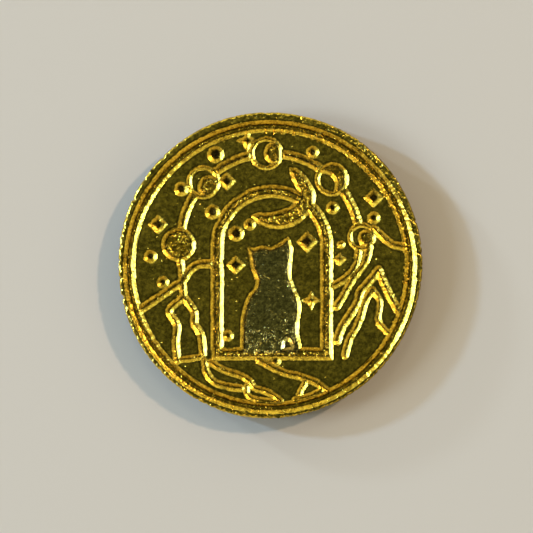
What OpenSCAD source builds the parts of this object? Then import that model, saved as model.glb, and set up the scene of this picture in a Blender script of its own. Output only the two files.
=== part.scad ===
// Two-piece struck token: an outer ring pressed round an engraved core.
// Millimetres. The token lies on its back: +Z is the front face's normal, +Y is the top of the
// picture, and the origin is the centre of the back face.

/* [Token] */
// Outer diameter
token_d = 25; // [24.8:0.1:27]
// Thickness over both faces
token_t = 2; // [1.6:0.1:2.6]
// Chamfer round both edges of the rim
rim_chamfer = 0.2; // [0.1:0.05:0.3]

/* [Ring and core] */
// Radius of the seam between the ring and the core
seam_r = 11.5; // [11.4:0.05:11.6]
// How far the ring's locking bead stands into the core's edge
bead_proud = 0.25; // [0.1:0.05:0.3]
// Height of the locking bead where it leaves the bore
bead_h = 0.8; // [0.5:0.1:1]

/* [Border groove] */
// Width of the groove at the face, centred on the seam
border_w = 1; // [0.8:0.05:1.1]
// Width of the groove's flat floor
border_floor_w = 0.3; // [0.2:0.05:0.5]
// Depth of the groove on the front
border_depth = 0.25; // [0.1:0.05:0.4]
// Depth of the groove on the back
back_border_depth = 0.15; // [0.1:0.05:0.3]

/* [Engraving] */
// Depth of the picture below the front face
cut_depth = 0.2; // [0.1:0.05:0.4]
// Width of an engraved line, half-way down the sloping sides of the real one
line_w = 0.5; // [0.35:0.05:0.5]
// Width of the round spot at a line's ends and corners, where the cutter dwells
spot_w = 0.54; // [0.54:0.02:0.66]
// Half-width of the arched window, to the outside of its frame
window_half_w = 5; // [4.9:0.05:5.1]
// Width of the window's frame
frame_w = 1.05; // [0.8:0.05:1.2]
// Height of the arch's centre above the middle of the token
arch_y = 1.55; // [1.4:0.05:1.7]
// Height of the window's sill, which is below the middle of the token
sill_y = -6.7; // [-6.9:0.05:-6.5]
// Radius of the arc that joins the moons
moon_arc_r = 7.35; // [7.2:0.05:7.5]
// Radius of a moon
moon_r = 1.32; // [1.2:0.02:1.4]

/* [Hidden] */
$fn = 96;
gold = "goldenrod";
engraved_gold = "darkgoldenrod";

token_r = token_d / 2;
mid_z = token_t / 2;
groove_out_r = seam_r + border_w / 2;
groove_in_r = seam_r - border_w / 2;
floor_half = border_floor_w / 2;
front_floor_z = token_t - border_depth;
lap = 0.5;                                        // how far a cutter stands above the face
bead_tip_h = bead_h - 2 * bead_proud * tan(30);   // the bead's flanks slope at 30 degrees

// The window, the moons and the seated animal share one upright centre line.
middle_x = 0.15;
window_top = [middle_x, arch_y];

// Where each moon stands on its arc, and how far its shadow is moved across it, in radii
moon_arc_c = [0, 1.8];
moon_angles = [180, 137.5, 92.5, 46, 3.5];
shadow_shift = [0, 0.6, 0.9, -1.1, -1.2];
moon_wall = 0.4;

// The large crescent hangs over the arch: two circles whose centres lie on a line at crescent_tilt.
crescent_c = [0.9, 5.5];
crescent_r = 2.7;
crescent_bite_r = 2.6;
crescent_shift = 1.4;
crescent_tilt = 141;

// Round pits: centre x, centre y, radius
pits = [
    [-4.45, 9, 0.65], [-7.15, 6.2, 0.57], [-9.75, 0.7, 0.53], [-8.75, -1.4, 0.5],
    [-4.65, 4.3, 0.65], [-2.75, 2.55, 0.65], [-1.65, 3.3, 0.46], [3.45, 9.2, 0.51],
    [5.1, 4.65, 0.51], [8.45, 3.85, 0.51], [5.7, 1.65, 0.33]
];
pit_floor = 0.35;                                 // a pit's floor radius over its mouth radius

// Diamond pits: centre x, centre y, half-diagonal
diamonds = [
    [-1.75, 10, 0.8], [-3.5, 6.85, 0.72], [-9.15, 3.3, 0.77], [8.45, 5.5, 0.77],
    [3.05, 1.9, 0.85], [-2.8, 0, 0.75], [3.45, -2.9, 0.75], [5.6, 0.5, 0.55]
];

// The seated animal, seen from behind: its head, one ear's corners from the head's middle, and its
// half-width at each height from the neck to the sill
head_y = 0.4;
head_r = 1.72;
ear = [[-1.6, 0.5], [-1.75, 1.95], [-0.45, 1.55]];
body_outline = [[1.2, -0.9], [1.6, -2.2], [2.2, -3.4], [2.45, -4.7], [2.3, -6.8]];

// Hills to the right and left, and the stream and its banks below the window
right_hills = [
    [[8.5, 2.95], [10.05, 1.7], [11.2, 1.45]],
    [[7.2, 1.2], [6.85, -0.25], [5.2, -1.65]],
    [[8.15, 2.1], [7.65, 0.15], [5.3, -3.4]],
    [[10.5, -3.75], [8.85, -0.35], [7.25, -2.6], [5.55, -6.2]],
    [[8.4, -1.95], [7.65, -3.4], [6.45, -6.2], [6.1, -7.4]],
    [[8.55, -2.2], [8.9, -4], [9.45, -5.55]]
];
left_hills = [
    [[-10.45, -3.6], [-7.2, -1.3], [-5.85, 0.1], [-4.6, 0.15]],
    [[-7.3, 0.6], [-7.1, -2.7], [-8.2, -3.75], [-7.55, -5], [-7.5, -7.85]],
    [[-7, -2.85], [-6.1, -4], [-5.55, -7.35], [-7.5, -7.6]]
];
stream = [
    [[-5.4, -7.85], [-5.1, -8.9], [-4.4, -9.6], [-2.5, -10.1]],
    [[-4.5, -7.9], [-1.45, -9.4], [-0.8, -10.1], [0.3, -10.2], [1.2, -10.9]],
    [[-1.9, -10.1], [-1.4, -10.8], [0.4, -11]],
    [[-0.5, -7.85], [1.15, -8.75], [3.85, -9.6], [4.7, -10.2]],
    [[2.95, -9.45], [2.3, -10.5], [4.2, -10.2]]
];

// One straight stretch of an engraved line, with a square end at p and at q
module bar(p, q) {
    reach = q - p;
    translate(p)
        rotate([0, 0, atan2(reach[1], reach[0])])
            translate([0, -line_w / 2])
                square([norm(reach), line_w]);
}

// An engraved line through points, round at its ends and corners
module line(points) {
    for (i = [0 : len(points) - 2]) bar(points[i], points[i + 1]);
    for (p = points) translate(p) circle(d = spot_w);
}

// The arched opening: a round top over straight sides, inset from the window's outer edge
module arch(inset) {
    half_w = window_half_w - inset;
    bottom_y = sill_y + inset - frame_w;
    translate(window_top) circle(r = half_w);
    translate([middle_x - half_w, bottom_y]) square([2 * half_w, arch_y - bottom_y]);
}

module window_frame() {
    difference() {
        arch(0);
        arch(frame_w);
    }
}

// The seated animal: one half of its body is the other half's mirror image
module animal() {
    translate([middle_x, 0]) {
        translate([0, head_y]) {
            circle(r = head_r);
            polygon(ear);
            mirror([1, 0]) polygon(ear);
        }
        polygon(concat(body_outline, [for (i = [len(body_outline) - 1 : -1 : 0])
            [-body_outline[i][0], body_outline[i][1]]]));
    }
}

module crescent() {
    translate(crescent_c)
        difference() {
            circle(r = crescent_r);
            translate(crescent_shift * [cos(crescent_tilt), sin(crescent_tilt)])
                circle(r = crescent_bite_r);
        }
}

// The middle of the moon that stands at an angle along the arc
function moon_place(angle) = moon_arc_r * [cos(angle), sin(angle)];

// The arc that joins the moons, and stops inside each one's outline
module moon_arc() {
    translate(moon_arc_c)
        difference() {
            intersection() {
                difference() {
                    circle(r = moon_arc_r + line_w / 2);
                    circle(r = moon_arc_r - line_w / 2);
                }
                translate([-token_r, 0]) square([token_d, token_r]);
            }
            for (angle = moon_angles)
                translate(moon_place(angle)) circle(r = moon_r - moon_wall / 2);
        }
}

// One moon: a sunken disc with its lit side left standing inside a sunken outline
module moon(angle, shift) {
    lit_r = moon_r - moon_wall;
    translate(moon_arc_c + moon_place(angle))
        difference() {
            circle(r = moon_r);
            if (shift != 0)
                difference() {
                    circle(r = lit_r);
                    translate([shift * lit_r, 0]) circle(r = lit_r);
                }
        }
}

// Sinks an outline into the front face
module sunk() {
    translate([0, 0, token_t - cut_depth])
        linear_extrude(cut_depth + lap)
            children();
}

// A round pit with sloping walls
module pit(place) {
    mouth_r = place[2];
    slope = mouth_r * (1 - pit_floor) / cut_depth;
    translate([place[0], place[1], token_t - cut_depth])
        cylinder(h = cut_depth + lap, r1 = mouth_r * pit_floor, r2 = mouth_r + slope * lap);
}

// A square pit that stands on its corner
module diamond(place) {
    side = place[2] * sqrt(2);
    sunk() translate([place[0], place[1]]) rotate([0, 0, 45]) square(side, center = true);
}

module picture() {
    sunk() window_frame();
    sunk() animal();
    sunk() crescent();
    sunk() moon_arc();
    for (i = [0 : len(moon_angles) - 1]) sunk() moon(moon_angles[i], shadow_shift[i]);
    for (points = concat(right_hills, left_hills, stream)) sunk() line(points);
    for (place = pits) pit(place);
    for (place = diamonds) diamond(place);
}

// The outer ring, with the locking bead on its bore
module rim_ring() {
    color(gold)
        rotate_extrude($fn = 240)
            polygon([
                [token_r - rim_chamfer, 0],
                [token_r, rim_chamfer],
                [token_r, token_t - rim_chamfer],
                [token_r - rim_chamfer, token_t],
                [groove_out_r, token_t],
                [seam_r + floor_half, front_floor_z],
                [seam_r, front_floor_z],
                [seam_r, mid_z + bead_h / 2],
                [seam_r - bead_proud, mid_z + bead_tip_h / 2],
                [seam_r - bead_proud, mid_z - bead_tip_h / 2],
                [seam_r, mid_z - bead_h / 2],
                [seam_r, back_border_depth],
                [seam_r + floor_half, back_border_depth],
                [groove_out_r, 0]
            ]);
}

// The plain core, whose edge has the groove that the bead locks into
module core_blank() {
    rotate_extrude($fn = 240)
        polygon([
            [0, 0],
            [groove_in_r, 0],
            [seam_r - floor_half, back_border_depth],
            [seam_r, back_border_depth],
            [seam_r, mid_z - bead_h / 2],
            [seam_r - bead_proud, mid_z - bead_tip_h / 2],
            [seam_r - bead_proud, mid_z + bead_tip_h / 2],
            [seam_r, mid_z + bead_h / 2],
            [seam_r, front_floor_z],
            [seam_r - floor_half, front_floor_z],
            [groove_in_r, token_t],
            [0, token_t]
        ]);
}

module core() {
    color(engraved_gold)
        difference() {
            core_blank();
            picture();
        }
}

rim_ring();
core();
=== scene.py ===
import math

import bpy
import numpy as np
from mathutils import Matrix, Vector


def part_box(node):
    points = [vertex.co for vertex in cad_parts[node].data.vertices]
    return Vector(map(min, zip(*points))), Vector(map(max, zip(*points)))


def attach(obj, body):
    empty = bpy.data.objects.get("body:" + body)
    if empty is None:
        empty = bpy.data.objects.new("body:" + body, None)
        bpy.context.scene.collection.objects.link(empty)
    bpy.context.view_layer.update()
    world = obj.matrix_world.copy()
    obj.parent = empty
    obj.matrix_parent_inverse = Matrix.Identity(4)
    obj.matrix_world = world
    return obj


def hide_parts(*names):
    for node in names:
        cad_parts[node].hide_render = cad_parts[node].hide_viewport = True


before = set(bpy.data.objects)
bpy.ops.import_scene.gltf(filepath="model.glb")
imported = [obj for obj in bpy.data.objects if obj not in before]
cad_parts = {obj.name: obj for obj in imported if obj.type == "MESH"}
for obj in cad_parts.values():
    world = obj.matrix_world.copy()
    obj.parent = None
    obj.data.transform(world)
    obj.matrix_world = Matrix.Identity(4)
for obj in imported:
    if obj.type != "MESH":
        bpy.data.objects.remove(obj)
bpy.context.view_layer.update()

# ---------------------------------------------------------------------------------------------
# The picture on the front face
# It is cut into the struck core with a pointed cutter, so every cut has sloping sides that meet
# in a V where the cut is narrow, and a rough flat floor where it is wide.
# ---------------------------------------------------------------------------------------------

MM = 0.001
face_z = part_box("core")[1].z / MM
seam_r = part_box("core")[1].x / MM

# How deep the picture is cut, and how wide the sloping sides of its cuts and of its pits are
cut_depth = 0.21
wall_w = 0.36
pit_wall_w = 0.37

# What a distance function gives for points that are too far from a line to matter
far_off = 99.0


def disc(x, y, cx, cy, r):
    """Distance outside a circle of radius r about (cx, cy); negative inside it."""
    return np.hypot(x - cx, y - cy) - r


def band(x, y, cx, cy, r, width):
    """Distance outside a circular band: how far the point is from radius r, less half the width."""
    return np.abs(np.hypot(x - cx, y - cy) - r) - width / 2


def block(x, y, left, right, low, high):
    """Distance outside an upright rectangle; negative inside it."""
    dx = np.maximum(left - x, x - right)
    dy = np.maximum(low - y, y - high)
    return np.hypot(np.maximum(dx, 0), np.maximum(dy, 0)) + np.minimum(np.maximum(dx, dy), 0)


def diamond(x, y, cx, cy, half):
    """Distance outside a square that stands on its corner, half being half its diagonal."""
    return (np.abs(x - cx) + np.abs(y - cy) - half) / math.sqrt(2)


star_pinch = 1.5


def star(x, y, cx, cy, half):
    """A four-pointed star: a diamond whose sides are bowed inwards, most in their middles, by the
    pinch."""
    dx, dy = np.abs(x - cx), np.abs(y - cy)
    inward = np.minimum(dx, dy) * np.maximum(1 - np.minimum(dx, dy) / half, 0)
    return (dx + dy - half + star_pinch * inward) / 2


def curve(points, steps=6):
    """A smooth open curve through a few points: each span is the cubic whose slopes at its ends
    are half the step between the points on either side."""
    p = np.array(points, float)
    p = np.vstack([2 * p[0] - p[1], p, 2 * p[-1] - p[-2]])
    t = np.linspace(0, 1, steps, endpoint=False)[:, None]
    spans = []
    for a, b, c, d in zip(p[:-3], p[1:-2], p[2:-1], p[3:]):
        spans.append(
            b + (c - a) / 2 * t + (a - 2.5 * b + 2 * c - d / 2) * t**2
            + ((3 * b - 3 * c + d - a) / 2) * t**3
        )
    return np.vstack(spans + [p[-2:-1]])


def close_to(x, y, points):
    """Which points lie within a millimetre of the box round a line or outline; the rest are too
    far away to matter, and are left out of the sums."""
    low, high = points.min(axis=0) - 1, points.max(axis=0) + 1
    return (x > low[0]) & (x < high[0]) & (y > low[1]) & (y < high[1])


def stretch_distance(x, y, a, b):
    """Distance from a straight stretch: the part of it that lies level with the point counts."""
    along = b - a
    t = np.clip(((x - a[0]) * along[0] + (y - a[1]) * along[1]) / (along @ along), 0, 1)
    return np.hypot(x - a[0] - t * along[0], y - a[1] - t * along[1])


def line(x, y, points, width):
    """Distance outside a line of some width with round ends: the nearest stretch counts."""
    close = close_to(x, y, points)
    near_x, near_y = x[close], y[close]
    nearest = np.full(near_x.shape, far_off)
    for a, b in zip(points[:-1], points[1:]):
        nearest = np.minimum(nearest, stretch_distance(near_x, near_y, a, b))
    distance = np.full(x.shape, far_off)
    distance[close] = nearest - width / 2
    return distance


def outline(x, y, points):
    """Distance outside a closed outline: the distance to its nearest side, negative where a line
    to the right crosses the outline an odd number of times."""
    close = close_to(x, y, points)
    near_x, near_y = x[close], y[close]
    nearest = np.full(near_x.shape, far_off)
    inside = np.zeros(near_x.shape, bool)
    for a, b in zip(points, np.roll(points, -1, axis=0)):
        nearest = np.minimum(nearest, stretch_distance(near_x, near_y, a, b))
        if a[1] != b[1]:
            crosses = (a[1] > near_y) != (b[1] > near_y)
            inside ^= crosses & (near_x < a[0] + (near_y - a[1]) * (b[0] - a[0]) / (b[1] - a[1]))
    distance = np.full(x.shape, far_off)
    distance[close] = np.where(inside, -nearest, nearest)
    return distance


# The window: a round arch over straight sides, with its frame sunk between two outlines
middle_x = 0.15
arch_y = 1.55
arch_r = 5.0
frame_w = 1.08
sill_y = -6.7


def arch(x, y, inset):
    """Distance outside the arched opening, drawn in from the window's edge by inset."""
    r = arch_r - inset
    low = sill_y - frame_w + inset
    round_top = disc(x, y, middle_x, arch_y, r)
    sides = block(x, y, middle_x - r, middle_x + r, low, arch_y)
    return np.minimum(round_top, sides)


# The large crescent that hangs over the arch: its lower point to the left, its horn to the top
crescent_outside = [
    (-1.6, 4.05), (-1.1, 3.46), (-0.45, 3.12), (0.35, 2.95), (1.25, 2.98), (2.1, 3.25), (2.85, 3.8),
    (3.4, 4.5), (3.72, 5.3), (3.68, 6.0), (3.28, 6.75), (2.78, 7.45), (2.25, 7.88), (1.55, 8.0),
]
crescent_inside = [
    (1.55, 8.0), (1.66, 7.2), (2.05, 6.4), (2.3, 5.75), (2.1, 5.2), (1.5, 4.78), (0.8, 4.5),
    (0.0, 4.3), (-0.9, 4.3), (-1.6, 4.05),
]
crescent_outline = np.vstack([curve(crescent_outside)[:-1], curve(crescent_inside)[:-1]])


# Five moons on one arc: centre, radius, how far the shadow that shapes the lit part is shifted,
# and the phase. A crescent is what the shadow leaves, and a lens is what the shadow covers.
moons = [
    (-7.46, 1.67, 1.42, 0, 0, "full"),
    (-5.43, 6.76, 1.40, 0.46, -0.39, "crescent"),
    (-0.31, 9.13, 1.40, 0.74, 0, "crescent"),
    (5.04, 7.0, 1.40, -0.72, -0.5, "lens"),
    (7.48, 2.3, 1.19, 0.42, -0.12, "crescent"),
]
moon_rim_w = 0.44
moon_arc = (0.0, 1.8, 7.32)
moon_arc_w = 0.8


def moon(x, y, cx, cy, r, shift_x, shift_y, phase):
    """A sunken disc whose lit part is left standing inside a rim."""
    sunk = disc(x, y, cx, cy, r)
    if phase == "full":
        return sunk
    lit = disc(x, y, cx, cy, r - moon_rim_w)
    shadow = disc(x, y, cx + shift_x, cy + shift_y, r - moon_rim_w)
    lit = np.maximum(lit, -shadow if phase == "crescent" else shadow)
    return np.maximum(sunk, -lit)


def moon_band(x, y):
    """The arc from the first moon to the last, cut away where the moons' lit parts stand."""
    cx, cy, r = moon_arc
    arc = np.maximum(band(x, y, cx, cy, r, moon_arc_w), cy - y)
    for mx, my, mr, *_ in moons:
        arc = np.maximum(arc, -disc(x, y, mx, my, mr - moon_rim_w / 2))
    return arc


# Round pits, each by its centre and radius, and diamonds and stars, by centre and half-width
pits = [
    (-4.45, 9.02, 0.7), (-7.24, 6.2, 0.6), (-9.76, 0.7, 0.56), (-8.74, -1.4, 0.52),
    (-4.7, 4.33, 0.62), (-2.76, 2.57, 0.66), (-1.66, 3.31, 0.5), (3.47, 9.2, 0.54),
    (5.09, 4.67, 0.54), (8.45, 3.84, 0.54), (5.8, 1.66, 0.36), (-3.45, -5.75, 0.48),
    (0.45, -7.85, 0.46),
]
diamonds = [
    (-3.52, 6.84, 0.8), (-9.14, 3.31, 0.84), (8.45, 5.48, 0.84), (3.03, 1.89, 0.92),
    (-2.81, 0, 0.82), (5.68, 0.48, 0.6),
]
stars = [(-1.85, 10.15, 1.0), (3.38, -2.88, 0.88)]

# The seated animal, seen from behind: its head from ear to ear, its right side down to the sill
# and its left side up from it
ears_and_head = [
    (-1.95, 1.75), (-1.35, 1.45), (-0.6, 1.6), (0.05, 1.55), (0.75, 1.85), (1.5, 2.35),
]
right_flank = [
    (1.5, 2.35), (1.9, 1.3), (1.8, 0.2), (1.75, -0.8), (2.1, -1.9), (2.55, -3.2), (2.4, -4.6),
    (2.4, -5.7), (2.6, -6.7), (2.7, -7.5),
]
left_flank = [
    (-2.5, -7.5), (-2.45, -6.5), (-2.45, -5.5), (-2.35, -4.1), (-1.95, -2.7), (-1.2, -1.5),
    (-1.55, -0.3), (-1.75, 0.7), (-1.95, 1.75),
]
animal_outline = np.vstack([
    curve(ears_and_head)[:-1], curve(right_flank), curve(left_flank)[:-1],
])
# The tip of its tail, left standing in the sunken body
tail_tip = curve([
    (1.39, -6.15), (1.66, -6.5), (1.76, -6.9), (1.55, -7.2), (1.3, -7.2), (1.22, -6.85),
    (1.24, -6.4), (1.39, -6.15),
])[:-1]


def animal(x, y):
    """Distance outside the sunken animal, its tail's tip left out."""
    return np.maximum(outline(x, y, animal_outline), -outline(x, y, tail_tip))


# Hills and stream: each line's width and the points that it runs through
lines = [
    (0.7, [(8.5, 3.0), (9.3, 2.2), (10.1, 1.65), (11.2, 1.45)]),
    (0.68, [(7.2, 1.2), (7.1, 0.3), (6.75, -0.5), (6.0, -1.2), (5.2, -1.65)]),
    (0.7, [(8.15, 2.1), (8.0, 1.0), (7.6, 0.0), (6.7, -1.2), (6.1, -2.3), (5.4, -3.4)]),
    (0.75, [(8.85, -0.35), (9.4, -1.7), (9.9, -2.7), (10.5, -3.75)]),
    (0.75, [(8.85, -0.35), (8.1, -1.35), (7.35, -2.2), (7.1, -3.1), (6.3, -4.4), (5.8, -5.2),
            (5.45, -6.2)]),
    (0.66, [(8.3, -2.0), (7.75, -3.0), (7.4, -4.2), (6.9, -5.3), (6.45, -6.1), (6.1, -7.4)]),
    (0.56, [(8.4, -2.0), (8.95, -3.0), (8.8, -4.4), (9.2, -5.1), (9.6, -5.5)]),
    (0.75, [(-10.5, -3.6), (-8.9, -2.5), (-7.2, -1.3), (-6.6, -0.5), (-5.85, 0.05), (-4.9, 0.1)]),
    (0.68, [(-7.35, 0.6), (-7.2, -0.8), (-7.05, -2.6)]),
    (0.7, [(-7.05, -2.6), (-8.2, -3.7), (-7.6, -4.9), (-7.7, -6.4), (-7.55, -7.8)]),
    (0.7, [(-7.05, -2.6), (-6.2, -3.8), (-6.15, -4.8), (-5.65, -5.7), (-5.45, -7.3)]),
    (0.56, [(-7.5, -7.7), (-6.5, -7.65), (-5.4, -7.4)]),
    (0.68, [(-5.35, -7.8), (-5.2, -8.7), (-4.6, -9.5), (-3.5, -9.9), (-2.4, -10.05)]),
    (0.63, [(-4.9, -7.9), (-3.7, -8.6), (-2.5, -8.97), (-1.65, -9.5), (-1.3, -10.0), (-0.55, -10.25),
            (0.2, -10.55), (0.85, -11.1)]),
    (0.56, [(-1.9, -9.9), (-1.85, -10.55), (-1.2, -10.95), (0.6, -11.2)]),
    (0.68, [(-0.9, -7.75), (0.2, -8.35), (1.1, -8.75), (2.6, -9.15), (3.9, -9.65), (4.9, -10.4)]),
    (0.56, [(2.95, -9.4), (2.35, -10.6)]),
    (0.56, [(2.0, -11.0), (3.2, -10.7), (4.2, -10.25)]),
]

# The border groove runs over the seam, and lies a little low on the token
border_depth = 0.26
border_r = seam_r
border_w = 1.0
border_low = 0.17


def border(x, y):
    """Distance outside the border groove."""
    return band(x, y, 0, -border_low, border_r, border_w)


def picture(x, y):
    """Distance outside every cut that has the picture's usual sloping sides."""
    cuts = [
        np.maximum(arch(x, y, 0), -arch(x, y, frame_w)),
        animal(x, y),
        outline(x, y, crescent_outline),
        moon_band(x, y),
        border(x, y),
    ]
    cuts += [moon(x, y, *m) for m in moons]
    cuts += [line(x, y, curve(points), width) for width, points in lines]
    return np.minimum.reduce(cuts)


def small_pits(x, y):
    """Distance outside the round, diamond and star pits, which have longer slopes."""
    cuts = [disc(x, y, *p) for p in pits]
    cuts += [diamond(x, y, *p) for p in diamonds]
    cuts += [star(x, y, *p) for p in stars]
    return np.minimum.reduce(cuts)


def ripple(x, y, shortest, longest, seed, waves=28):
    """Smooth random relief of height about one: sine waves whose lengths, directions and phases
    are drawn once from a fixed seed, added up."""
    rng = np.random.default_rng(seed)
    lengths = rng.uniform(shortest, longest, waves)
    headings = rng.uniform(0, 2 * math.pi, waves)
    phases = rng.uniform(0, 2 * math.pi, waves)
    total = np.zeros(x.shape)
    for length, heading, phase in zip(lengths, headings, phases):
        along = x * math.cos(heading) + y * math.sin(heading)
        total += np.sin(2 * math.pi * along / length + phase)
    return total / math.sqrt(waves / 2)


def slope(field, x, y, step=0.001):
    """How a distance changes with x and with y, from points one step to either side."""
    return (
        (field(x + step, y) - field(x - step, y)) / (2 * step),
        (field(x, y + step) - field(x, y - step)) / (2 * step),
    )


least_slope = 0.5


def foot(field, x, y):
    """The distance, the nearest point of the cut's edge, found by going back down the slope, and
    the slope itself. Where two cuts meet it is slight, and is taken as no less than least_slope."""
    d = field(x, y)
    gx, gy = slope(field, x, y)
    size = np.maximum(np.hypot(gx, gy), least_slope)
    return d, x - d * gx / size, y - d * gy / size, gx / size, gy / size


def snapped(x, y, reach):
    """Grid points slid along the slope on to a cut's edge, on to the bend half-way down its side
    or on to the side's foot, where one of them is nearer than reach, so that they are clean lines."""
    for field, side in ((picture, wall_w), (small_pits, pit_wall_w)):
        d, _, _, gx, gy = foot(field, x, y)
        for level in (0, -side / 2, -side):
            near = np.abs(d - level) < reach
            x = np.where(near, x - (d - level) * gx, x)
            y = np.where(near, y - (d - level) * gy, y)
    return x, y


def cut_profile(depth_in, side):
    """Depth below the face at a distance in from the edge, as a share of the full depth: the
    upper half of the side takes three fifths of it, the lower half the rest, then a flat floor."""
    t = np.clip(depth_in / side, 0, 1)
    return 1.2 * np.minimum(t, 0.5) + 0.8 * np.maximum(t - 0.5, 0)


burr_size = 0.08
burr_band = 0.05
burr_heading = 0.7


def burrs(x, y):
    """Metal that the cutter pushed over the border's inner edge, mostly on the upper right."""
    off_edge = np.abs(np.hypot(x, y + border_low) - border_r + border_w / 2)
    inner_edge = np.clip(1 - off_edge / burr_band, 0, 1)
    upper_right = np.clip(1.6 * np.cos(np.arctan2(y, x) - burr_heading), 0.12, 1)
    return burr_size * inner_edge * upper_right * np.clip(ripple(x, y, 0.28, 0.5, 16), -0.3, 1.4)


# Painted shade: how wide the dark line at a side's foot and the dark halo just outside each cut are, and
# how dark the halo is
crease_w = 0.06
halo_w = 0.05
halo_shade = 0.75


def creases(d, share, x, y):
    """How much shade is painted in, from 0 to 1: the bottom of a V, where the distance hardly changes
    across 0.1 mm, the foot of a side, and a thin dark line on the field just outside the cut."""
    wide_x, wide_y = slope(picture, x, y, step=0.05)
    v_bottom = np.clip(1.6 * (0.95 - np.hypot(wide_x, wide_y)), 0, 1) * (d < -0.1) * (share < 0.98)
    foot_line = np.exp(-((d + wall_w) / crease_w) ** 2)
    halo = halo_shade * np.exp(-((d - crease_w) / halo_w) ** 2)
    return np.clip(v_bottom + foot_line + halo, 0, 1)


land_dent = 0.017
border_dent = 0.004
dent_heading = 0.75


def battered(x, y):
    """Dents and lifted metal along the rim and the border, worst at the lower left and the upper
    right, as a depth in millimetres. Metal is lifted by at most 1.2 times the dents' size."""
    r = np.hypot(x, y)
    on_land = np.clip((r - border_r - 0.3) / 0.25, 0, 1)
    on_border = np.clip((r - border_r + 0.9) / 0.5, 0, 1)
    worst = 0.25 + 0.75 * np.cos(np.arctan2(y, x) - dent_heading) ** 2
    dents = ripple(x, y, 0.35, 1.0, 17) + 0.6 * ripple(x, y, 0.22, 0.35, 18)
    return np.maximum(dents, -1.2) * worst * (border_dent * on_border + land_dent * on_land)


# How far edges wander, how far the bend half-way down a side wanders (a share of the depth), how
# rough a wide floor is, how wavy the field is, and how much finer the floors of some cuts are
edge_rag = 0.012
pit_rag = 0.01
bend_wander = 0.26
floor_rough = 0.01
field_wave = 0.004
groove_fine = 0.3
pit_fine = 0.2
moon_fine = 0.55
calm_fine = 0.12
dull_fine = 0.6


def relief(x, y):
    """Depth of the front face below the field at each point in millimetres, then five marks from
    0 to 1: how far down its cut the point is, how coarsely the cutter left it, how matt it is,
    how much shade is painted in, and whether it is the animal's dull floor."""
    d, ex, ey, _, _ = foot(picture, x, y)
    rag = edge_rag * ripple(ex, ey, 0.25, 0.8, 11) + burrs(ex, ey)
    share = cut_profile(-d + np.where(d < 0.05, rag, 0), wall_w)
    share += bend_wander * ripple(ex, ey, 0.9, 2.6, 19) * share * (1 - share)
    p, px, py, _, _ = foot(small_pits, x, y)
    in_pit = p < 0
    pit_share = cut_profile(-p + np.where(in_pit, pit_rag * ripple(px, py, 0.3, 0.7, 12), 0), pit_wall_w)
    # Painted shade: the pits' floors are darkened, and so are the creases and a thin halo round the cuts
    pit_painted_shade = np.clip((pit_share - 0.76) * 5, 0, 1) * (d > -0.1)
    painted_shade = np.maximum(creases(d, share, x, y), pit_painted_shade)
    share = np.maximum(share, pit_share)

    into_animal = -outline(x, y, animal_outline)
    dull = np.clip((into_animal - 0.2) / 0.3, 0, 1)
    calm = np.clip((into_animal - 0.3) / 0.5, 0, 1) * np.clip((y + 7.0) / 3.0, 0, 1)
    in_groove = border(x, y) < 0
    in_moon = np.minimum.reduce([disc(x, y, *m[:3]) for m in moons]) < 0
    fine = np.where(in_groove, groove_fine, 1) * np.where(in_pit, pit_fine, 1)
    fine = fine * np.where(in_moon, moon_fine, 1)
    floor = np.clip((share - 0.9) * 10, 0, 1)
    coarse = floor * (1 - (1 - calm_fine) * calm) * fine * (1 - (1 - dull_fine) * dull)
    rough = floor_rough * ripple(x, y, 0.35, 0.7, 13) * (into_animal < 0.2)

    depth = np.where(in_groove, border_depth, cut_depth)
    wave = field_wave * ripple(x, y, 1.2, 3.0, 15)
    matt = np.where(in_pit, 0.45, 0.25 * np.clip(share * 4, 0, 1) * (share < 0.97))
    marks = {
        "cut": share * (1 - 0.4 * calm),
        "coarse": coarse,
        "matt": matt,
        "painted_shade": painted_shade,
        "dull": dull,
    }
    return share * depth + rough * coarse + wave + battered(x, y), marks


# ---------------------------------------------------------------------------------------------
# The core
# One struck disc of polished brass. The front carries the picture, the edge has the groove that
# the ring locks into, and the back is plain with the same border groove, cut shallower.
# ---------------------------------------------------------------------------------------------

core_rows = 276
snap_reach = 0.4
unsnapped_w = 0.15
bead_proud = 0.25
bead_h = 0.8
bead_slope = math.radians(30)
back_border_depth = 0.15
back_edge_w = 0.05
seam_bevel = 0.03


def round_grid(rows, radius):
    """A square grid of points pulled out to a disc: each square ring of the grid becomes a
    circle, and points keep their share of the way along each quarter."""
    u, v = np.meshgrid(np.linspace(-1, 1, rows), np.linspace(-1, 1, rows))
    wide = np.abs(u) > np.abs(v)
    safe_u = np.where(u == 0, 1, u)
    safe_v = np.where(v == 0, 1, v)
    r = np.where(wide, u, v)
    angle = np.where(wide, math.pi / 4 * v / safe_u, math.pi / 2 - math.pi / 4 * u / safe_v)
    return radius * r * np.cos(angle), radius * r * np.sin(angle)


def square_rim(rows):
    """Point numbers once round the outside of a square grid, counter-clockwise."""
    number = np.arange(rows * rows).reshape(rows, rows)
    return np.concatenate([number[0, :-1], number[:-1, -1], number[-1, :0:-1], number[:0:-1, 0]])


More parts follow.
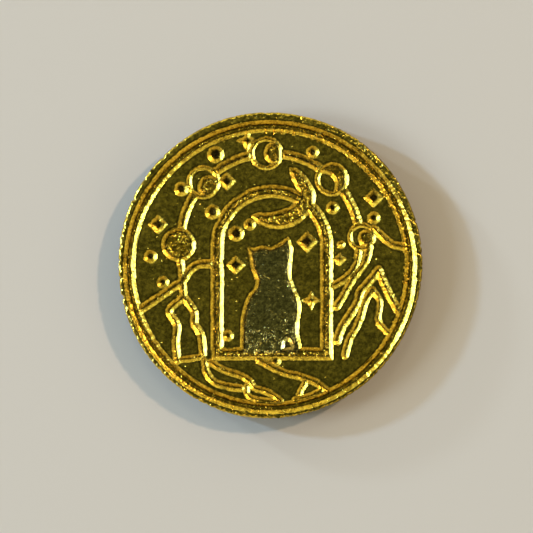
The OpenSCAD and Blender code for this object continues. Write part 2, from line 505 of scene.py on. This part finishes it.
def solid(name, points, quads, triangles):
    """A mesh object from points in millimetres, four-sided faces and three-sided faces."""
    mesh = bpy.data.meshes.new(name)
    corners = np.concatenate([quads.ravel(), triangles.ravel()]).astype(np.int32)
    starts = np.concatenate([
        np.arange(len(quads)) * 4,
        len(quads) * 4 + np.arange(len(triangles)) * 3,
    ]).astype(np.int32)
    mesh.vertices.add(len(points))
    mesh.vertices.foreach_set("co", (points * MM).astype(np.float32).ravel())
    mesh.loops.add(len(corners))
    mesh.loops.foreach_set("vertex_index", corners)
    mesh.polygons.add(len(starts))
    mesh.polygons.foreach_set("loop_start", starts)
    mesh.polygons.foreach_set("use_smooth", np.ones(len(starts), bool))
    mesh.update(calc_edges=True)
    mesh.validate()
    piece = bpy.data.objects.new(name, mesh)
    bpy.context.scene.collection.objects.link(piece)
    return piece


def mark(piece, name, values):
    """Keeps one number for each point of a piece, for its material to read."""
    layer = piece.data.attributes.new(name, "FLOAT", "POINT")
    layer.data.foreach_set("value", values.astype(np.float32))


def walls_between(upper, lower):
    """Four-sided faces between two rings of points that run counter-clockwise."""
    return np.stack([upper, lower, np.roll(lower, -1), np.roll(upper, -1)], axis=1)


def make_core():
    """The front is the round grid sunk by the relief, its points snapped on to the cuts' edges
    where one is nearer than snap_reach of a grid step, but not right at the seam. Rings of points
    then carry the edge's profile down to the back, and the last ring closes on its middle."""
    top_r = seam_r - seam_bevel
    x, y = round_grid(core_rows, top_r)
    x, y = x.ravel(), y.ravel()
    inner = np.hypot(x, y) < top_r - unsnapped_w
    sx, sy = snapped(x, y, snap_reach * 2 * top_r / core_rows)
    x, y = np.where(inner, sx, x), np.where(inner, sy, y)
    depth, marks = relief(x, y)
    number = np.arange(core_rows**2).reshape(core_rows, core_rows)
    corners = [number[:-1, :-1], number[:-1, 1:], number[1:, 1:], number[1:, :-1]]
    quads = [np.stack([corner.ravel() for corner in corners], axis=1)]
    points = [np.stack([x, y, face_z - depth], axis=1)]

    rim = square_rim(core_rows)
    angle = np.arctan2(y[rim], x[rim])
    rim_z = face_z - depth[rim]
    mid = face_z / 2
    tip_h = bead_h / 2 - bead_proud * math.tan(bead_slope)
    groove_in_r = seam_r - border_w / 2
    profile = [
        (seam_r, None),
        (seam_r, mid + bead_h / 2),
        (seam_r - bead_proud, mid + tip_h),
        (seam_r - bead_proud, mid - tip_h),
        (seam_r, mid - bead_h / 2),
        (seam_r, back_border_depth + seam_bevel),
        (seam_r - seam_bevel, back_border_depth),
        (groove_in_r + wall_w, back_border_depth),
        (groove_in_r, 0),
        (groove_in_r - back_edge_w, 0),
    ]
    profile += [(groove_in_r * part, 0) for part in (0.85, 0.6, 0.3)]
    upper = rim
    count = core_rows**2
    for r, z in profile:
        height = rim_z - seam_bevel if z is None else np.full(len(rim), z)
        points.append(np.stack([r * np.cos(angle), r * np.sin(angle), height], axis=1))
        lower = count + np.arange(len(rim))
        quads.append(walls_between(upper, lower))
        upper = lower
        count += len(rim)
    points.append(np.zeros((1, 3)))
    fan = np.stack([upper, np.full(len(rim), count), np.roll(upper, -1)], axis=1)
    points = np.vstack(points)
    piece = solid("token_core", points, np.vstack(quads), fan)
    below = np.zeros(len(points) - core_rows**2)
    for name, values in marks.items():
        mark(piece, name, np.concatenate([values, below]))
    return piece


def nodes_of(material):
    """The node tree of a new material, and its surface shader."""
    material.use_nodes = True
    tree = material.node_tree
    return tree, tree.nodes["Principled BSDF"]


def put(tree, kind, **values):
    """Adds a node and sets its inputs by name and its settings by attribute."""
    node = tree.nodes.new(kind)
    for key, value in values.items():
        if key in node.inputs:
            node.inputs[key].default_value = value
        else:
            setattr(node, key, value)
    return node


def map_range(tree, value, from_low, from_high, to_low=0.0, to_high=1.0, kind="LINEAR"):
    """A value carried over from one range to another, and held inside it."""
    node = put(tree, "ShaderNodeMapRange", interpolation_type=kind)
    ends = {"From Min": from_low, "From Max": from_high, "To Min": to_low, "To Max": to_high}
    for name, number in ends.items():
        node.inputs[name].default_value = number
    tree.links.new(value, node.inputs["Value"])
    return node.outputs["Result"]


def mixed(tree, factor, first, second):
    """A colour between two, the first of them a socket or a plain colour, by a factor."""
    node = put(tree, "ShaderNodeMix", data_type="RGBA")
    factor_socket, first_socket, second_socket = node.inputs[0], node.inputs[6], node.inputs[7]
    tree.links.new(factor, factor_socket)
    if isinstance(first, tuple):
        first_socket.default_value = (*first, 1)
    else:
        tree.links.new(first, first_socket)
    second_socket.default_value = (*second, 1)
    return node.outputs[2]


def cutter_marks():
    """Shared by both metals. Height is fine grain and a few specks everywhere, curled cutter marks
    where Coarse is high and hair scratches elsewhere; Mottle is a cloud that varies the polish."""
    group = bpy.data.node_groups.new("cutter_marks", "ShaderNodeTree")
    for name, way in [("Coarse", "INPUT"), ("Cut", "INPUT"), ("Height", "OUTPUT"), ("Mottle", "OUTPUT")]:
        group.interface.new_socket(name, in_out=way, socket_type="NodeSocketFloat")
    enter = group.nodes.new("NodeGroupInput")
    leave = group.nodes.new("NodeGroupOutput")
    link = group.links.new
    place = put(group, "ShaderNodeTexCoord").outputs["Object"]

    def noise(size_mm, detail=2.0, roughness=0.5):
        """A noise whose grains are about size_mm across."""
        scale = 1 / (size_mm * MM)
        node = put(group, "ShaderNodeTexNoise", Scale=scale, Detail=detail, Roughness=roughness)
        link(place, node.inputs["Vector"])
        return node.outputs["Fac"]

    def math_node(operation, a, b):
        """One sum on two inputs, each of them a socket or a plain number."""
        node = put(group, "ShaderNodeMath", operation=operation)
        for socket, value in zip(node.inputs, (a, b)):
            if isinstance(value, float):
                socket.default_value = value
            else:
                link(value, socket)
        return node.outputs[0]

    def curls(size_mm, width, keep):
        """Thin curled lines: where one noise is near its middle value, kept only where a second
        noise is above keep."""
        off = math_node("ABSOLUTE", math_node("SUBTRACT", noise(size_mm), 0.5), 0.0)
        ridge = map_range(group, off, width, 0.0)
        where = map_range(group, noise(size_mm * 1.7, detail=1.0), keep, keep + 0.06)
        return math_node("MULTIPLY", ridge, where)

    def cones(spacing_mm, share, steepness):
        """Small cones scattered about spacing_mm apart, each share of the spacing wide."""
        cells = put(group, "ShaderNodeTexVoronoi", Scale=1 / (spacing_mm * MM))
        link(place, cells.inputs["Vector"])
        inside = math_node("SUBTRACT", share, cells.outputs["Distance"])
        cone = math_node("MAXIMUM", math_node("MULTIPLY", inside, steepness), 0.0)
        return cone, cells.outputs["Color"]

    chips, _ = cones(spacing_mm=0.24, share=0.36, steepness=15.0)
    floor_curls = math_node("MULTIPLY", curls(size_mm=0.26, width=0.05, keep=0.48), 2.6)
    coarse_height = math_node("MULTIPLY", math_node("ADD", chips, floor_curls), enter.outputs["Coarse"])

    long_hairs = curls(size_mm=0.9, width=0.05, keep=0.54)
    short_hairs = curls(size_mm=0.5, width=0.06, keep=0.57)
    hair_depth = math_node("ADD", math_node("MULTIPLY", enter.outputs["Cut"], 1.5), 0.5)
    hairs = math_node("MULTIPLY", math_node("ADD", long_hairs, short_hairs), hair_depth)

    specks, cell_colour = cones(spacing_mm=0.38, share=0.15, steepness=22.0)
    chance = put(group, "ShaderNodeSeparateColor")
    link(cell_colour, chance.inputs[0])
    specks = math_node("MULTIPLY", specks, math_node("GREATER_THAN", chance.outputs[0], 0.75))
    grain = math_node("MULTIPLY", noise(0.24, detail=4.0, roughness=0.7), 1.8)
    streaks = math_node("MULTIPLY", math_node("MULTIPLY", noise(0.13), enter.outputs["Cut"]), 1.2)

    height = math_node("ADD", coarse_height, hairs)
    for layer in (specks, grain, streaks):
        height = math_node("ADD", height, layer)
    link(height, leave.inputs["Height"])
    link(noise(0.35, detail=5.0, roughness=0.75), leave.inputs["Mottle"])
    return group


marks_group = cutter_marks()

# The colours of the field, of the cuts, of the animal's dull floor and of the painted shade in creases,
# pits, cut outlines and on the edge
field_gold = (0.97, 0.68, 0.075)
cut_gold = (0.98, 0.6, 0.045)
dull_gold = (0.7, 0.57, 0.14)
painted_shade_brown = (0.14, 0.085, 0.012)
grain_height = 0.01 * MM


def brass(name, bright_roughness, matt_roughness):
    """Gold-coloured metal: deeper in colour and more marked down the cuts, with brown painted shade in
    the creases, the pits' floors, a thin line round each cut and the edge's right side.
    """
    material = bpy.data.materials.new(name)
    tree, shader = nodes_of(material)
    link = tree.links.new
    shader.inputs["Metallic"].default_value = 1.0
    amount = {}
    for mark_name in ("cut", "coarse", "matt", "painted_shade", "dull"):
        attribute = put(tree, "ShaderNodeAttribute", attribute_name=mark_name)
        amount[mark_name] = attribute.outputs["Fac"]
    marks = put(tree, "ShaderNodeGroup", node_tree=marks_group)
    link(amount["coarse"], marks.inputs["Coarse"])
    link(amount["cut"], marks.inputs["Cut"])
    mottle = marks.outputs["Mottle"]

    gold = mixed(tree, amount["cut"], field_gold, cut_gold)
    gold = mixed(tree, amount["dull"], gold, dull_gold)
    # Painted shade: brown mixed in along creases, pits' floors, cut outlines and the right side of the
    # edge
    gold = mixed(tree, amount["painted_shade"], gold, painted_shade_brown)
    shade = put(tree, "ShaderNodeVectorMath", operation="SCALE")
    link(gold, shade.inputs[0])
    link(map_range(tree, mottle, 0.38, 0.62, 0.42, 1.03), shade.inputs["Scale"])
    link(shade.outputs[0], shader.inputs["Base Color"])

    polish = put(tree, "ShaderNodeMath", operation="ADD")
    link(map_range(tree, amount["matt"], 0.0, 1.0, bright_roughness, matt_roughness), polish.inputs[0])
    link(map_range(tree, mottle, 0.42, 0.7, -0.03, 0.1), polish.inputs[1])
    link(polish.outputs[0], shader.inputs["Roughness"])
    bump = put(tree, "ShaderNodeBump", Strength=1.0, Distance=grain_height)
    link(marks.outputs["Height"], bump.inputs["Height"])
    link(bump.outputs["Normal"], shader.inputs["Normal"])
    return material


# How rough the core's polish and a matt spot are, and from what angle an edge counts as sharp
core_polish = 0.17
matt_finish = 0.4
sharp_angle = math.radians(20)

core = make_core()
core.data.set_sharp_from_angle(angle=sharp_angle)
core.data.materials.append(brass("core_brass", core_polish, matt_finish))
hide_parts("core")
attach(core, "root")

# ---------------------------------------------------------------------------------------------
# The rim ring
# A ring of the same metal, pressed round the core. Its outer edge is chamfered, slightly out of
# round, and nicked all round by handling.
# ---------------------------------------------------------------------------------------------

rim_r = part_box("rim_ring")[1].x / MM
rim_chamfer = 0.14
ring_steps = 1800
top_rings = 18
ring_polish = 0.19

# Waves round the edge: their size, how many to a turn, and where they start
edge_waves = [(0.05, 2, 2.6), (0.035, 3, 0.9), (0.02, 7, 0)]
edge_wear = 0.05
nick_size = 0.045
chatter_size = 0.045
# How dark the painted shadow on the right side of the edge's chamfer is
edge_painted_shadow = 0.75


def out_of_round(angle):
    """How far the edge stands out or in at an angle: slow waves, even wear and fine nicks."""
    slow = sum(size * np.cos(count * angle - start) for size, count, start in edge_waves)
    x, y = rim_r * np.cos(angle), rim_r * np.sin(angle)
    nicks = np.minimum(ripple(x, y, 0.35, 0.9, 21) + 0.6, 0) * nick_size
    return slow - edge_wear + nicks


def make_ring():
    """Rings of points carry the profile round: up the bore, out over the groove and the land,
    round the edge and back in under the ring to the bore."""
    angle = np.linspace(0, 2 * math.pi, ring_steps, endpoint=False)
    edge = out_of_round(angle)
    chatter = chatter_size * ripple(rim_r * np.cos(angle), rim_r * np.sin(angle), 0.3, 0.8, 22)
    mid = face_z / 2
    tip_h = bead_h / 2 - bead_proud * math.tan(bead_slope)
    groove_out_r = seam_r + border_w / 2
    zero = np.zeros(ring_steps)
    plain = {"cut": zero, "coarse": zero, "matt": zero, "painted_shade": zero, "dull": zero}
    # Painted shadow: the outer rings of the chamfer are darkened on the right side of the token
    shadowed_edge = {**plain, "painted_shade": edge_painted_shadow * np.clip(1.5 * np.cos(angle + 0.2), 0, 1)}
    stations = []

    def add(r, z, marks=plain):
        """One more ring of points, each number the same all round or one for each angle."""
        stations.append((r + zero, z + zero, marks))

    add(seam_r, back_border_depth + seam_bevel)
    add(seam_r, mid - bead_h / 2)
    add(seam_r - bead_proud, mid - tip_h)
    add(seam_r - bead_proud, mid + tip_h)
    add(seam_r, mid + bead_h / 2)
    start_r = seam_r + seam_bevel
    seam_depth = relief(start_r * np.cos(angle), start_r * np.sin(angle))[0]
    add(seam_r, face_z - seam_depth - seam_bevel)
    land_r = rim_r - rim_chamfer + edge + chatter
    for t in np.linspace(0, 1, top_rings):
        r = start_r + (land_r - start_r) * t
        depth, marks = relief(r * np.cos(angle), r * np.sin(angle))
        add(r, face_z - depth, marks)
    add(rim_r - 0.45 * rim_chamfer + edge + 0.5 * chatter, face_z - 0.35 * rim_chamfer, shadowed_edge)
    add(rim_r + edge, face_z - rim_chamfer + chatter, shadowed_edge)
    add(rim_r + edge, mid)
    add(rim_r + edge, np.maximum(rim_chamfer - chatter, 0.05))
    add(rim_r - 0.5 * rim_chamfer + edge, 0.4 * rim_chamfer)
    add(rim_r - rim_chamfer + edge, 0)
    add(groove_out_r, 0)
    add(groove_out_r - wall_w, back_border_depth)
    add(seam_r + seam_bevel, back_border_depth)

    points = np.vstack([
        np.stack([r * np.cos(angle), r * np.sin(angle), z], axis=1) for r, z, _ in stations
    ])
    number = np.arange(len(points)).reshape(len(stations), ring_steps)
    quads = np.vstack([walls_between(a, b) for a, b in zip(number, np.roll(number, -1, axis=0))])
    piece = solid("token_rim_ring", points, quads, np.zeros((0, 3), int))
    for name in plain:
        mark(piece, name, np.concatenate([marks[name] for _, _, marks in stations]))
    return piece


ring = make_ring()
ring.data.set_sharp_from_angle(angle=sharp_angle)
ring.data.materials.append(brass("ring_brass", ring_polish, matt_finish))
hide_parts("rim_ring")
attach(ring, "root")

# ---------------------------------------------------------------------------------------------
# Floor, light and camera
# A pale sheet of paper, a dark ceiling with a bright band low down all round it, a warm lamp
# from the upper right, three cool ones and a card from the left, and a weak one high above the top.
# ---------------------------------------------------------------------------------------------

paper_size = 1.2
paper_white = (0.71, 0.655, 0.61)

bpy.ops.mesh.primitive_plane_add(size=paper_size, location=(0, 0, 0))
paper = bpy.context.object
paper.name = "paper"
paper_material = bpy.data.materials.new("paper")
paper_tree, paper_shader = nodes_of(paper_material)
paper_shader.inputs["Roughness"].default_value = 0.9
paper_shader.inputs["Specular IOR Level"].default_value = 0.1
paper_shader.inputs["Base Color"].default_value = (*paper_white, 1)
paper.data.materials.append(paper_material)

world = bpy.data.worlds.new("studio")
bpy.context.scene.world = world
world.use_nodes = True
sky = world.node_tree
direction = put(sky, "ShaderNodeTexCoord").outputs["Generated"]
parts = put(sky, "ShaderNodeSeparateXYZ")
sky.links.new(direction, parts.inputs[0])


def scaled(light, factor):
    """A light, which is a socket or a plain colour, times a factor."""
    node = put(sky, "ShaderNodeVectorMath", operation="SCALE")
    if isinstance(light, tuple):
        node.inputs[0].default_value = light
    else:
        sky.links.new(light, node.inputs[0])
    sky.links.new(factor, node.inputs["Scale"])
    return node.outputs[0]


def together(total, *lights):
    """The sum of several lights, each after the first a socket or a plain colour."""
    for light in lights:
        node = put(sky, "ShaderNodeVectorMath", operation="ADD")
        sky.links.new(total, node.inputs[0])
        if isinstance(light, tuple):
            node.inputs[1].default_value = light
        else:
            sky.links.new(light, node.inputs[1])
        total = node.outputs[0]
    return total


def lobe(heading, colour, tightness):
    """Light that comes from one side: how far a direction leans towards the heading, to a power,
    times a colour."""
    a = math.radians(heading)
    lean = put(sky, "ShaderNodeVectorMath", operation="DOT_PRODUCT")
    lean.inputs[1].default_value = (math.cos(a), math.sin(a), 0)
    clamp = put(sky, "ShaderNodeClamp")
    power = put(sky, "ShaderNodeMath", operation="POWER")
    power.inputs[1].default_value = tightness
    sky.links.new(direction, lean.inputs[0])
    sky.links.new(lean.outputs["Value"], clamp.inputs["Value"])
    sky.links.new(clamp.outputs["Result"], power.inputs[0])
    return scaled(colour, power.outputs[0])


# The band's light fades out between these heights of a direction, 1 being straight up
band_top = 0.75
band_full = 0.4
ceiling_light = (0.064, 0.074, 0.056)

side_light = together(
    lobe(180, (0.9, 0.95, 0.9), 3),
    lobe(0, (0.75, 0.68, 0.48), 1),
    lobe(90, (0.64, 0.59, 0.46), 1.5),
    lobe(270, (0.64, 0.48, 0.24), 1),
)
low_band = map_range(sky, parts.outputs["Z"], band_top, band_full, kind="SMOOTHSTEP")
high_side = lobe(115, (0.3, 0.3, 0.2), 1)
room_light = together(scaled(side_light, low_band), ceiling_light, high_side)
sky.links.new(room_light, sky.nodes["Background"].inputs["Color"])

lamp_distance = 1.5


def lamp(name, azimuth, elevation, colour, power, size, on_paper=True):
    """A round lamp at lamp_distance, aimed at the token. Azimuth is counted from +X. One that is
    not on the paper is seen in the metal only, as a white card beside the token would be."""
    data = bpy.data.lights.new(name, "AREA")
    data.shape = "DISK"
    data.size = size
    data.energy = power
    data.color = colour
    piece = bpy.data.objects.new(name, data)
    bpy.context.scene.collection.objects.link(piece)
    a, e = math.radians(azimuth), math.radians(elevation)
    away = (math.cos(a) * math.cos(e), math.sin(a) * math.cos(e), math.sin(e))
    piece.location = [lamp_distance * c for c in away]
    piece.rotation_euler = (math.pi / 2 - e, 0, a + math.pi / 2)
    piece.visible_diffuse = on_paper


# Name, azimuth, elevation, colour, power in watts and width in metres
lamps = [
    ("warm_lamp", 36, 40, (1.0, 0.75, 0.5), 7.2, 0.09),
    ("cool_lamp", 160, 21, (0.43, 0.7, 1.0), 11.7, 0.09),
    ("window_lamp", 182, 27, (0.72, 0.9, 1.0), 8.1, 0.54),
    ("far_cool_lamp", 148, 12, (0.75, 0.9, 1.0), 6.3, 0.09),
    ("high_lamp", 100, 50, (1.0, 0.98, 0.9), 0.9, 0.3),
]
for settings in lamps:
    lamp(*settings)
lamp("left_card", 180, 32, (0.3, 0.44, 1.0), 18.0, 0.78, on_paper=False)
bpy.context.scene.cycles.caustics_reflective = False

# The camera looks straight down. The view is about one and three quarter tokens wide, and its
# middle lies just left of and below the token's.
view_in_tokens = 1.7395561357702349
view_x = -0.29 * MM
view_y = -0.12 * MM

camera_data = bpy.data.cameras.new("camera")
camera_data.sensor_width = 36
camera_data.lens = 200
camera = bpy.data.objects.new("camera", camera_data)
bpy.context.scene.collection.objects.link(camera)
bpy.context.scene.camera = camera
frame_width = view_in_tokens * 2 * rim_r * MM
camera_height = face_z * MM + frame_width * camera_data.lens / camera_data.sensor_width
camera.location = (view_x, view_y, camera_height)
bpy.context.scene.view_settings.view_transform = "Standard"
